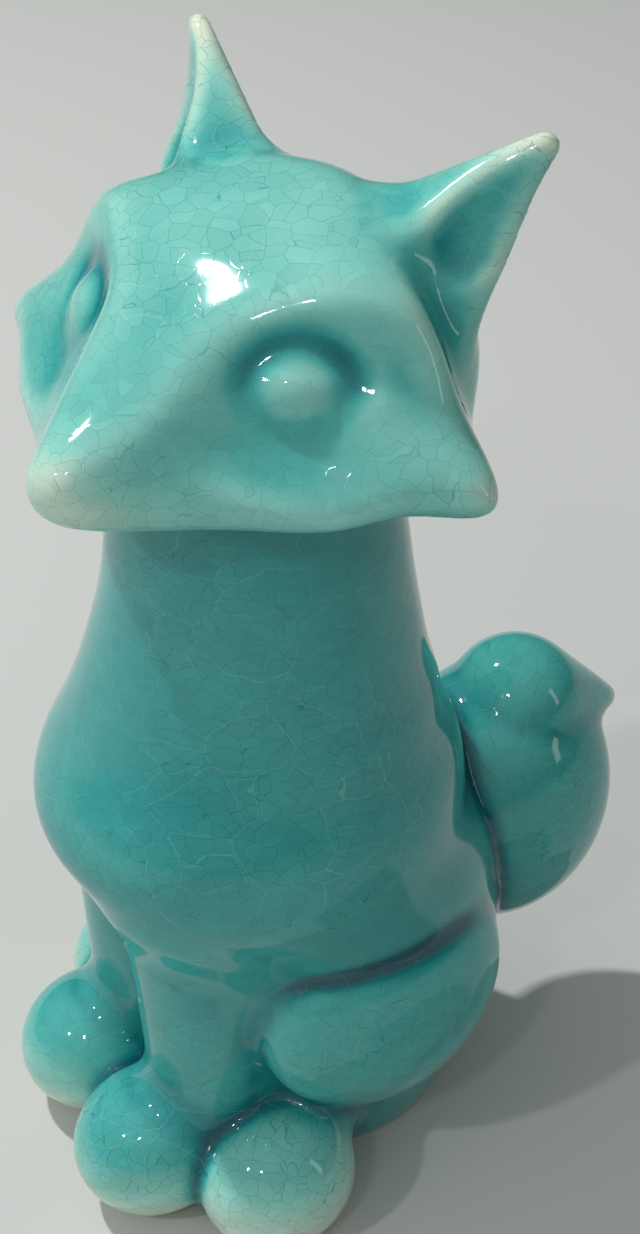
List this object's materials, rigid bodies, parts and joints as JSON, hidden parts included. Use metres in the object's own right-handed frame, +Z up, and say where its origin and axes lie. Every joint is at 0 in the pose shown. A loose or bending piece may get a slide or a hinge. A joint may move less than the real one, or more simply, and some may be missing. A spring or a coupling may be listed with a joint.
{
  "type": "fox figurine",
  "caption": "Sitting fox figurine in turquoise crackle-glazed earthenware, with a wide wedge-shaped head turned to its left, pricked ears and a flicked tail.",
  "frame": {"origin": "on the surface that the figurine stands on, under the middle of the fox", "axes": "+Z up, -Y the way that the body faces, +X the fox's own left"},
  "size_m": [0.0806, 0.1087, 0.1801],
  "materials": {
    "crackle_glaze": "gloss",
    "slip": "matte"
  },
  "bodies": {
    "root": {"trunk": "crackle_glaze", "head": "crackle_glaze", "left_ear": "crackle_glaze", "right_ear": "crackle_glaze", "tail": "crackle_glaze", "left_foreleg": "crackle_glaze", "right_foreleg": "crackle_glaze", "left_haunch": "crackle_glaze", "right_haunch": "crackle_glaze", "left_hind_paw": "crackle_glaze", "right_hind_paw": "crackle_glaze", "neck_slip_ring": "slip", "tail_slip_ring": "slip"}
  },
  "joints": []
}
